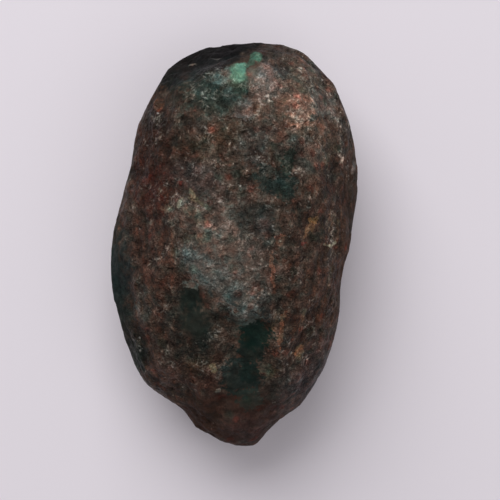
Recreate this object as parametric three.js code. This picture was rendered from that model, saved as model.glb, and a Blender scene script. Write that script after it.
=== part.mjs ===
// Raw fuchsite stone: one rounded, elongated lump of mica schist, lying on its flattest side.
//
// Millimetres, +Z up. The origin is on the ground, under the middle of the stone. +Y points to the
// blunt end and -Y to the pointed end, and +X is to the right when the stone is seen from above.
// The stone is a warped sphere. It gets its outline and its two profiles first, then the broken
// faces, lumps and hollows, then the grain, and last the flat that it lies on.

import * as THREE from "three";
import { ImprovedNoise } from "three/addons/math/ImprovedNoise.js";
import { mergeVertices } from "three/addons/utils/BufferGeometryUtils.js";

// ---- Driving dimensions, mm ----

const LENGTH = 36;
const WIDTH = 21.8;
const THICKNESS = 17;

// ---- Form ----

// The outline seen from above, clockwise from the middle of the blunt end. Each point is
// [across, along], as shares of half the width and half the length.
const OUTLINE = [
  [0.01, 1.0], [0.29, 0.998], [0.5, 0.975], [0.76, 0.835], [0.91, 0.64], [0.98, 0.44], [1.0, 0.33],
  [0.94, 0.06], [0.863, -0.12], [0.846, -0.23], [0.82, -0.4], [0.725, -0.59], [0.585, -0.74],
  [0.5, -0.8], [0.375, -0.857], [0.255, -0.93], [0.165, -0.99], [0.04, -1.0], [-0.22, -0.94],
  [-0.33, -0.89], [-0.405, -0.83], [-0.47, -0.79], [-0.715, -0.685], [-0.78, -0.635],
  [-0.89, -0.455], [-0.975, -0.24], [-1.0, -0.07], [-0.965, 0.12], [-0.86, 0.365], [-0.805, 0.56],
  [-0.69, 0.725], [-0.56, 0.865], [-0.455, 0.92], [-0.24, 0.98],
];

// The widest outline is at this share of the thickness.
const WAIST_SHARE = 0.46;

// How full the stone is above and below its waist: [along, share of the full height].
const CROWN_PROFILE = [[-1, 0.82], [-0.6, 0.9], [-0.2, 0.99], [0.1, 1.0], [0.55, 0.97], [1, 0.92]];
const KEEL_PROFILE = [[-1, 0.84], [-0.5, 0.94], [-0.05, 1.0], [0.5, 0.98], [1, 0.9]];

// 2 would make the cross-sections elliptical; more makes them squarer.
const SQUARENESS = 2.55;

// The waist is not level: the pointed end sags by this much, mm, and the rest sways in long waves.
const TIP_SAG = 1.5;
const SWAY = { along: 15, across: 12, height: 1.5, seed: 5.4 };

// The bottom is worn flat to this depth, mm.
const WORN_DEPTH = 0.42;

// How often each edge of the starting icosahedron is split. At 20 the edges are about 0.75 mm long.
const SUBDIVISIONS = 20;

// ---- Broken faces ----

// Each face cuts off what lies beyond its plane. at is the point on the plane, as shares of half
// the width, half the length and half the thickness, and blend is how far its edge is rounded, mm.
const FACES = [
  { name: "brow", at: [-0.1, 0.9, 0.5], normal: [-0.3, 0.82, 0.48], blend: 0.08 },
  { name: "left shoulder", at: [-0.76, 0.66, 0.42], normal: [-0.8, 0.34, 0.5], blend: 0.3 },
  { name: "right shoulder", at: [0.74, 0.72, 0.52], normal: [0.62, 0.46, 0.64], blend: 0.4 },
  { name: "lower front", at: [-0.1, -0.7, 0.7], normal: [-0.1, -0.4, 0.9], blend: 0.4 },
  { name: "lower right", at: [0.62, -0.56, 0.56], normal: [0.66, -0.3, 0.7], blend: 0.4 },
  { name: "lower left", at: [-0.72, -0.48, 0.54], normal: [-0.7, -0.26, 0.66], blend: 0.4 },
  { name: "right flank", at: [0.86, 0.12, 0.6], normal: [0.8, 0.02, 0.6], blend: 0.4 },
  { name: "left flank", at: [-0.86, -0.06, 0.56], normal: [-0.8, 0.05, 0.6], blend: 0.4 },
  { name: "under left", at: [-0.72, 0.25, -0.7], normal: [-0.66, 0.08, -0.74], blend: 0.35 },
  { name: "under right", at: [0.74, -0.15, -0.66], normal: [0.72, -0.1, -0.7], blend: 0.35 },
  { name: "under blunt end", at: [0.1, 0.86, -0.62], normal: [0.14, 0.66, -0.74], blend: 0.4 },
  { name: "under pointed end", at: [0, -0.74, -0.78], normal: [-0.05, -0.46, -0.88], blend: 0.4 },
];

// ---- Lumps and hollows ----

// Those on the upper side. at is [across, along] as before, radii are [across, along] in mm, turn
// is degrees anticlockwise, height is out of the surface in mm, and a higher edge is steeper.
const UPPER_RELIEF = [
  { name: "boss", at: [-0.16, -0.05], radii: [2.7, 5.7], turn: 34, height: 0.8, edge: 4 },
  { name: "boss lip", at: [0.11, -0.3], radii: [1.5, 0.9], turn: 15, height: 0.5, edge: 4 },
  { name: "left hollow", at: [-0.33, -0.27], radii: [0.95, 1.7], turn: 12, height: -0.8, edge: 2 },
  { name: "right hollow", at: [0.13, -0.43], radii: [1.5, 1.2], turn: -10, height: -0.85, edge: 2 },
  { name: "trough", at: [0.06, -0.63], radii: [1.3, 3.0], turn: -8, height: -0.6, edge: 2 },
  { name: "rib beside trough", at: [0.36, -0.48], radii: [0.7, 3.4], turn: -4, height: 0.4, edge: 2 },
  { name: "right groove", at: [0.32, -0.12], radii: [0.5, 2.6], turn: 3, height: -0.34, edge: 2 },
  { name: "right pillow", at: [0.68, 0.12], radii: [1.7, 3.4], turn: 8, height: 0.3, edge: 2 },
  { name: "green hollow", at: [0.36, 0.32], radii: [1.9, 1.7], turn: 30, height: -0.55, edge: 2 },
  { name: "upper valley", at: [-0.2, 0.42], radii: [6.0, 1.5], turn: -16, height: -0.4, edge: 2 },
  { name: "crown lump", at: [0.24, 0.85], radii: [1.4, 1.2], turn: 0, height: 0.5, edge: 2 },
  { name: "crown dent", at: [0.42, 0.86], radii: [0.6, 0.8], turn: 0, height: -0.5, edge: 2 },
  { name: "crown ridge", at: [0.54, 0.82], radii: [0.5, 1.6], turn: 12, height: 0.36, edge: 2 },
  { name: "tan lump", at: [0.56, 0.66], radii: [1.6, 1.5], turn: 0, height: 0.4, edge: 3 },
  { name: "brow lip", at: [-0.12, 0.84], radii: [1.9, 0.6], turn: 10, height: 0.42, edge: 3 },
  { name: "left lump", at: [-0.62, 0.2], radii: [1.5, 1.7], turn: 0, height: 0.3, edge: 2 },
  { name: "left dent", at: [-0.72, 0.38], radii: [1.0, 1.4], turn: 0, height: -0.3, edge: 2 },
];

// Those on the underside.
const LOWER_RELIEF = [
  { name: "keel", at: [0.04, 0.04], radii: [4.6, 7.0], turn: 12, height: 0.55, edge: 3 },
  { name: "keel hollow", at: [0.46, 0.56], radii: [2.0, 2.8], turn: -20, height: -0.6, edge: 2 },
  { name: "keel swelling", at: [-0.66, -0.42], radii: [2.0, 3.4], turn: 15, height: 0.35, edge: 2 },
  { name: "keel groove", at: [-0.42, 0.66], radii: [0.8, 3.0], turn: 10, height: -0.4, edge: 2 },
];

// ---- Grain ----

// Waves of the surface, longer along the stone than across it, as its mica layers run lengthwise.
// seed shifts the pattern, and height is the swing to each side, mm.
const GRAIN = [
  { name: "swell", along: 10, across: 7, height: 0.42, seed: 3.1 },
  { name: "knobs", along: 4.6, across: 3.0, height: 0.3, seed: 17.7 },
  { name: "ripples", along: 3.0, across: 1.7, height: 0.16, seed: 41.3 },
];

// Small pits where a fine wave passes a level.
const PITS = { along: 2.6, across: 1.9, level: 0.28, depth: 0.75, seed: 71.9 };

const STONE_COLOUR = 0x3f352f;
const STONE_ROUGHNESS = 0.62;

// ---- Shaping ----

const HALF = new THREE.Vector3(WIDTH, LENGTH, THICKNESS).multiplyScalar(0.5);
const CROWN_HEIGHT = THICKNESS * (1 - WAIST_SHARE);
const KEEL_DEPTH = THICKNESS * WAIST_SHARE + WORN_DEPTH;
const noise = new ImprovedNoise();

// Returns the distance from the stone's long axis to its outline in a direction, mm.
function makeOutlineRadius() {
  const corners = OUTLINE.map(([across, along]) => new THREE.Vector3(across * HALF.x, along * HALF.y, 0));
  const samples = new THREE.CatmullRomCurve3(corners, true, "centripetal")
    .getPoints(1440)
    .map((point) => ({ angle: Math.atan2(point.y, point.x), radius: Math.hypot(point.x, point.y) }))
    .sort((a, b) => a.angle - b.angle);
  return (angle) => {
    const found = samples.findIndex((sample) => sample.angle >= angle);
    const after = samples[found < 0 ? 0 : found];
    const before = samples[(found < 0 ? 0 : found) - 1] ?? samples[samples.length - 1];
    const span = THREE.MathUtils.euclideanModulo(after.angle - before.angle, 2 * Math.PI);
    const part = THREE.MathUtils.euclideanModulo(angle - before.angle, 2 * Math.PI);
    return THREE.MathUtils.lerp(before.radius, after.radius, span > 0 ? part / span : 0);
  };
}

// Returns a smooth function of the place along the stone, -1 to 1, through the given pairs.
function makeProfile(pairs) {
  const curve = new THREE.SplineCurve(pairs.map(([along, share]) => new THREE.Vector2(along, share)));
  const samples = curve.getPoints(200);
  return (along) => {
    const found = samples.findIndex((sample) => sample.x >= along);
    if (found <= 0) return samples[found < 0 ? samples.length - 1 : 0].y;
    const [before, after] = [samples[found - 1], samples[found]];
    return THREE.MathUtils.mapLinear(along, before.x, after.x, before.y, after.y);
  };
}

const outlineRadius = makeOutlineRadius();
const crownShare = makeProfile(CROWN_PROFILE);
const keelShare = makeProfile(KEEL_PROFILE);

// The value of a wave at a point, about -1 to 1.
function wave(point, { along, across, seed }) {
  return noise.noise(point.x / across + seed, point.y / along - seed, point.z / across + seed);
}

// Moves a point of the unit sphere to the plain form of the stone, with its waist at z = 0.
function plainForm(direction) {
  const level = Math.hypot(direction.x, direction.y);
  const angle = Math.atan2(direction.y * LENGTH, direction.x * WIDTH);
  const size = (level ** SQUARENESS + Math.abs(direction.z) ** SQUARENESS) ** (1 / SQUARENESS);
  const radius = (outlineRadius(angle) * level) / size;
  const x = radius * Math.cos(angle);
  const y = radius * Math.sin(angle);
  const along = y / HALF.y;
  const height = direction.z > 0 ? CROWN_HEIGHT * crownShare(along) : KEEL_DEPTH * keelShare(along);
  const waist = SWAY.height * wave({ x, y, z: 0 }, SWAY) - TIP_SAG * Math.max(0, -along) ** 2;
  return new THREE.Vector3(x, y, waist + (height * direction.z) / size);
}

// The outward direction at a point of the plain form.
function outward(point) {
  return new THREE.Vector3(point.x / HALF.x ** 2, point.y / HALF.y ** 2, point.z / HALF.z ** 2).normalize();
}

// How fully the broken faces and the relief act: not at the waist, which keeps the outline.
function reliefShare(direction) {
  return THREE.MathUtils.smoothstep(Math.abs(direction.z), 0.02, 0.32);
}

// Cuts a point back to a broken face, with a rounded edge.
function cutBack(point, face, share) {
  const normal = new THREE.Vector3(...face.normal).normalize();
  const onFace = new THREE.Vector3(...face.at).multiply(HALF);
  const beyond = point.clone().sub(onFace).dot(normal);
  point.addScaledVector(normal, -share * face.blend * Math.log1p(Math.exp(beyond / face.blend)));
}

// The height that one lump or hollow adds at a point.
function reliefHeight(point, relief) {
  const turn = THREE.MathUtils.degToRad(relief.turn);
  const dx = point.x - relief.at[0] * HALF.x;
  const dy = point.y - relief.at[1] * HALF.y;
  const across = (dx * Math.cos(turn) + dy * Math.sin(turn)) / relief.radii[0];
  const along = (dy * Math.cos(turn) - dx * Math.sin(turn)) / relief.radii[1];
  return relief.height * Math.exp(-(Math.hypot(across, along) ** relief.edge));
}

// The height of all the relief at a point, out of the surface, mm.
function surfaceRelief(point, direction) {
  const list = direction.z > 0 ? UPPER_RELIEF : LOWER_RELIEF;
  const lumps = list.reduce((sum, relief) => sum + reliefHeight(point, relief), 0);
  const grain = GRAIN.reduce((sum, layer) => sum + layer.height * wave(point, layer), 0);
  const pit = PITS.depth * Math.max(0, wave(point, PITS) - PITS.level);
  return lumps + grain - pit;
}

// Makes the closed surface of the stone, waist at z = 0.
function makeSurface() {
  const sphere = new THREE.IcosahedronGeometry(1, SUBDIVISIONS);
  sphere.deleteAttribute("normal");
  sphere.deleteAttribute("uv");
  const surface = mergeVertices(sphere, 1e-5);
  const position = surface.getAttribute("position");
  const direction = new THREE.Vector3();
  for (let i = 0; i < position.count; i += 1) {
    direction.fromBufferAttribute(position, i).normalize();
    const point = plainForm(direction);
    const share = reliefShare(direction);
    FACES.forEach((face) => cutBack(point, face, share));
    point.addScaledVector(outward(point), (0.2 + 0.8 * share) * surfaceRelief(point, direction));
    position.setXYZ(i, point.x, point.y, point.z);
  }
  return surface;
}

// Wears the bottom flat, gives the stone its exact size and stands it on the ground.
function layDown(surface) {
  const position = surface.getAttribute("position");
  surface.computeBoundingBox();
  const ground = surface.boundingBox.min.z + WORN_DEPTH;
  for (let i = 0; i < position.count; i += 1) {
    position.setZ(i, Math.max(position.getZ(i), ground));
  }
  surface.computeBoundingBox();
  const size = surface.boundingBox.getSize(new THREE.Vector3());
  const middle = surface.boundingBox.getCenter(new THREE.Vector3());
  surface.translate(-middle.x, -middle.y, -ground);
  surface.scale(WIDTH / size.x, LENGTH / size.y, THICKNESS / size.z);
  surface.computeVertexNormals();
  return surface;
}

const material = new THREE.MeshStandardMaterial({
  color: STONE_COLOUR,
  roughness: STONE_ROUGHNESS,
  metalness: 0,
});

const stone = new THREE.Mesh(layDown(makeSurface()), material);
stone.name = "fuchsite_stone";

const model = new THREE.Group();
model.add(stone);

export default model;
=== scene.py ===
"""A raw fuchsite stone: brown mica schist with green patches, lying on a pale floor.

The stone is one closed piece. It starts from the solid's own mesh, gets the grain, pits and
flakes that the solid leaves out, and is dressed in one mineral finish, with some painted shadow,
sheen, highlights and glints in its colour. Lengths in the classes are millimetres, and become
metres where a mesh, lamp or camera is made.
"""

import logging
import math
from dataclasses import dataclass
from enum import Enum

import bmesh
import bpy
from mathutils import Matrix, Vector, noise


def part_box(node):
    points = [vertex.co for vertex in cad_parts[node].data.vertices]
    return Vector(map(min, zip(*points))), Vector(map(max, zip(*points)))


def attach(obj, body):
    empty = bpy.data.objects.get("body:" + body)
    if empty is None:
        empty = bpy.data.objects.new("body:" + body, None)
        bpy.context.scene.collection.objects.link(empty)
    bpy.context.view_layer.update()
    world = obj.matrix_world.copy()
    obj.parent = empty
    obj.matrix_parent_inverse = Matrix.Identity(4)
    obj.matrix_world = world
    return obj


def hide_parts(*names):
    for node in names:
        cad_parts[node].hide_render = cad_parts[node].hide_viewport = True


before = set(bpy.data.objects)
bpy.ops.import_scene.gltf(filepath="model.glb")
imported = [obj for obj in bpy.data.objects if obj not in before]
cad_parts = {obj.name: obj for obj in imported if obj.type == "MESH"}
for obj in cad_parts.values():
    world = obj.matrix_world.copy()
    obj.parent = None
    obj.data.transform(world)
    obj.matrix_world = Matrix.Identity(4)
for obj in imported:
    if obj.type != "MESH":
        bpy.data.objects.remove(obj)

LOG = logging.getLogger("raw_stone")
MM = 0.001  # One millimetre in metres.
RELIEF = "relief"  # The vertex layer with the height of the fine relief, mm.
WORN = "worn"  # The vertex layer with how little relief is left, 0 to 1.
MIDDLE = 0.5  # The middle level of a noise pattern.
EVEN = (1, 1, 1)  # The level that leaves a colour as it is.
HALVED = 2.0  # How much narrower each finer layer of a wave is.
Triple = tuple[float, float, float]
Display = tuple[int, int, int]
Colour = tuple[float, float, float, float]
Socket = bpy.types.NodeSocket
Outputs = bpy.types.NodeOutputs


def tint(red: int, green: int, blue: int) -> Colour:
    """Turns a display colour, 0 to 255 each, into a shader's linear colour by the usual curve."""
    levels = (share / 255 for share in (red, green, blue))
    return *(v / 12.92 if v <= 0.04045 else ((v + 0.055) / 1.055) ** 2.4 for v in levels), 1.0


@dataclass(frozen=True)
class Rise:
    """A smooth rise from 0, as a value goes from low to high.

    Attributes:
        low: The value where it starts, which may be above the one where it ends.
        high: The value where it ends.
        top: The height it reaches.
    """

    low: float
    high: float
    top: float = 1.0


class ShaderSheet:
    """A material's nodes, with short calls that add a node and join it to those before it."""

    def __init__(self, name: str) -> None:
        """Starts an empty material.

        Args:
            name: The material's name.
        """
        self.material = bpy.data.materials.new(name)
        self.material.use_nodes = True
        self.tree = self.material.node_tree
        self.tree.nodes.clear()

    def add(self, kind: str, inputs: dict[str | int, object], **settings: object) -> Outputs:
        """Adds a node.

        Args:
            kind: The node's type.
            inputs: An output to join or a value to set, by each input's name or number.
            **settings: The node's own options.

        Returns:
            The node's outputs.
        """
        node = self.tree.nodes.new(kind)
        for option, value in settings.items():
            setattr(node, option, value)
        for socket, value in inputs.items():
            if isinstance(value, Socket):
                self.tree.links.new(value, node.inputs[socket])
            else:
                node.inputs[socket].default_value = value
        return node.outputs

    def calc(self, kind: str, first: object, second: object = 0.0, clamp: bool = False) -> Socket:
        """Works out one number from two with a Math node, held within 0 and 1 if it's clamped."""
        inputs = {0: first, 1: second}
        return self.add("ShaderNodeMath", inputs, operation=kind, use_clamp=clamp)[0]

    def shift(self, kind: str, first: object, second: object) -> Socket:
        """Works out one vector from two, or from a vector and a scale, with a Vector Math node."""
        inputs = {0: first, "Scale" if kind == "SCALE" else 1: second}
        return self.add("ShaderNodeVectorMath", inputs, operation=kind)["Vector"]

    def step(self, value: object, rise: Rise) -> Socket:
        """Returns the height of a rise at a value."""
        inputs = {"Value": value, "From Min": rise.low, "From Max": rise.high, "To Max": rise.top}
        return self.add("ShaderNodeMapRange", inputs, interpolation_type="SMOOTHSTEP")[0]

    def blend(self, share: object, first: object, second: object) -> Socket:
        """Mixes two colours by the share of the second one."""
        inputs = {0: share, 6: first, 7: second}
        return self.add("ShaderNodeMix", inputs, data_type="RGBA", clamp_result=True)[2]

    def grains(self, place: Socket, size: float) -> Outputs:
        """Adds a pattern of irregular cells of a size in mm, such as packed mineral grains."""
        return self.add("ShaderNodeTexVoronoi", {"Vector": place, "Scale": 1 / size})


@dataclass(frozen=True)
class Clouds:
    """A noise pattern.

    Attributes:
        size: The width of its largest spots, mm.
        detail: How many finer layers it has.
        roughness: How strong the finer layers are.
    """

    size: float
    detail: float = 3.0
    roughness: float = 0.6

    def at(self, sheet: ShaderSheet, place: Socket, output: str = "Fac") -> Socket:
        """Returns the pattern's level at a place: one number, or three from "Color"."""
        inputs = {"Scale": 1 / self.size, "Detail": self.detail, "Roughness": self.roughness}
        return sheet.add("ShaderNodeTexNoise", {"Vector": place, **inputs})[output]


@dataclass(frozen=True)
class Jitter(Clouds):
    """A noise pattern that shifts places at random, which makes what is drawn there ragged.

    Attributes:
        reach: How far the places shift, mm.
    """

    roughness: float = 0.65
    reach: float = 0.5

    def bend(self, sheet: ShaderSheet, place: Socket) -> Socket:
        """Returns a place, shifted."""
        swing = sheet.shift("SUBTRACT", self.at(sheet, place, "Color"), (MIDDLE,) * 3)
        return sheet.shift("ADD", place, sheet.shift("SCALE", swing, 2 * self.reach))


class StoneSheet(ShaderSheet):
    """The nodes of the stone's material, with what its layers read at each place.

    Attributes:
        place: The place, mm.
        wandering: The place shifted so that borders wander, mm.
        grit: The fine pattern that breaks borders up.
        lively: How strongly the grains differ, 0 to 1.
        gathered: How closely the pale flakes and their painted glints lie.
    """

    place: Socket
    wandering: Socket
    grit: Socket
    lively: Socket
    gathered: Socket


class Border(Enum):
    """How a region ends: how soft its border is, and how far the grains break it up."""

    FIRM = (0.16, 0.25)
    GRAINY = (0.16, 1.1)
    SOFT = (0.45, 0.8)
    HAZY = (0.8, 0.6)
    SMOOTH = (0.3, 0.12)
    CALM = (0.3, 0.1)


@dataclass(frozen=True)
class Region:
    """An irregular place on the stone.

    Attributes:
        name: What is there.
        centre: Its middle, mm.
        radii: Its reach across, along and up, mm.
        turn: Its turn anticlockwise seen from above, degrees.
        strength: How fully it counts in its middle, 0 to 1.
        border: How it ends.
    """

    name: str
    centre: Triple
    radii: Triple
    turn: float
    strength: float
    border: Border

    def share(self, sheet: StoneSheet) -> Socket:
        """Works out how fully each place belongs to the region.

        Args:
            sheet: The stone's nodes.

        Returns:
            The share, 0 to the region's strength.
        """
        softness, break_up = self.border.value
        turned = sheet.shift("SUBTRACT", sheet.wandering, self.centre)
        if self.turn:
            inputs = {"Vector": turned, "Angle": math.radians(-self.turn)}
            turned = sheet.add("ShaderNodeVectorRotate", inputs, rotation_type="Z_AXIS")[0]
        inputs = {0: sheet.shift("DIVIDE", turned, self.radii)}
        reach = sheet.add("ShaderNodeVectorMath", inputs, operation="LENGTH")["Value"]
        inputs = {0: sheet.grit, 1: -2 * break_up, 2: reach}
        ragged = sheet.add("ShaderNodeMath", inputs, operation="MULTIPLY_ADD")[0]
        border = 1.0 - break_up
        return sheet.step(ragged, Rise(border + softness, border - softness, self.strength))


@dataclass(frozen=True)
class Patch(Region):
    """A region with a colour of its own.

    Attributes:
        colour: Its display colour, 0 to 255 each.
    """

    colour: Display

    def over(self, sheet: StoneSheet, colour: Socket) -> Socket:
        """Lays the patch over a colour."""
        return sheet.blend(self.share(sheet), colour, tint(*self.colour))


# Short names for the tables.
FIRM, GRAINY, SOFT, HAZY, SMOOTH, CALM = Border

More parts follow.
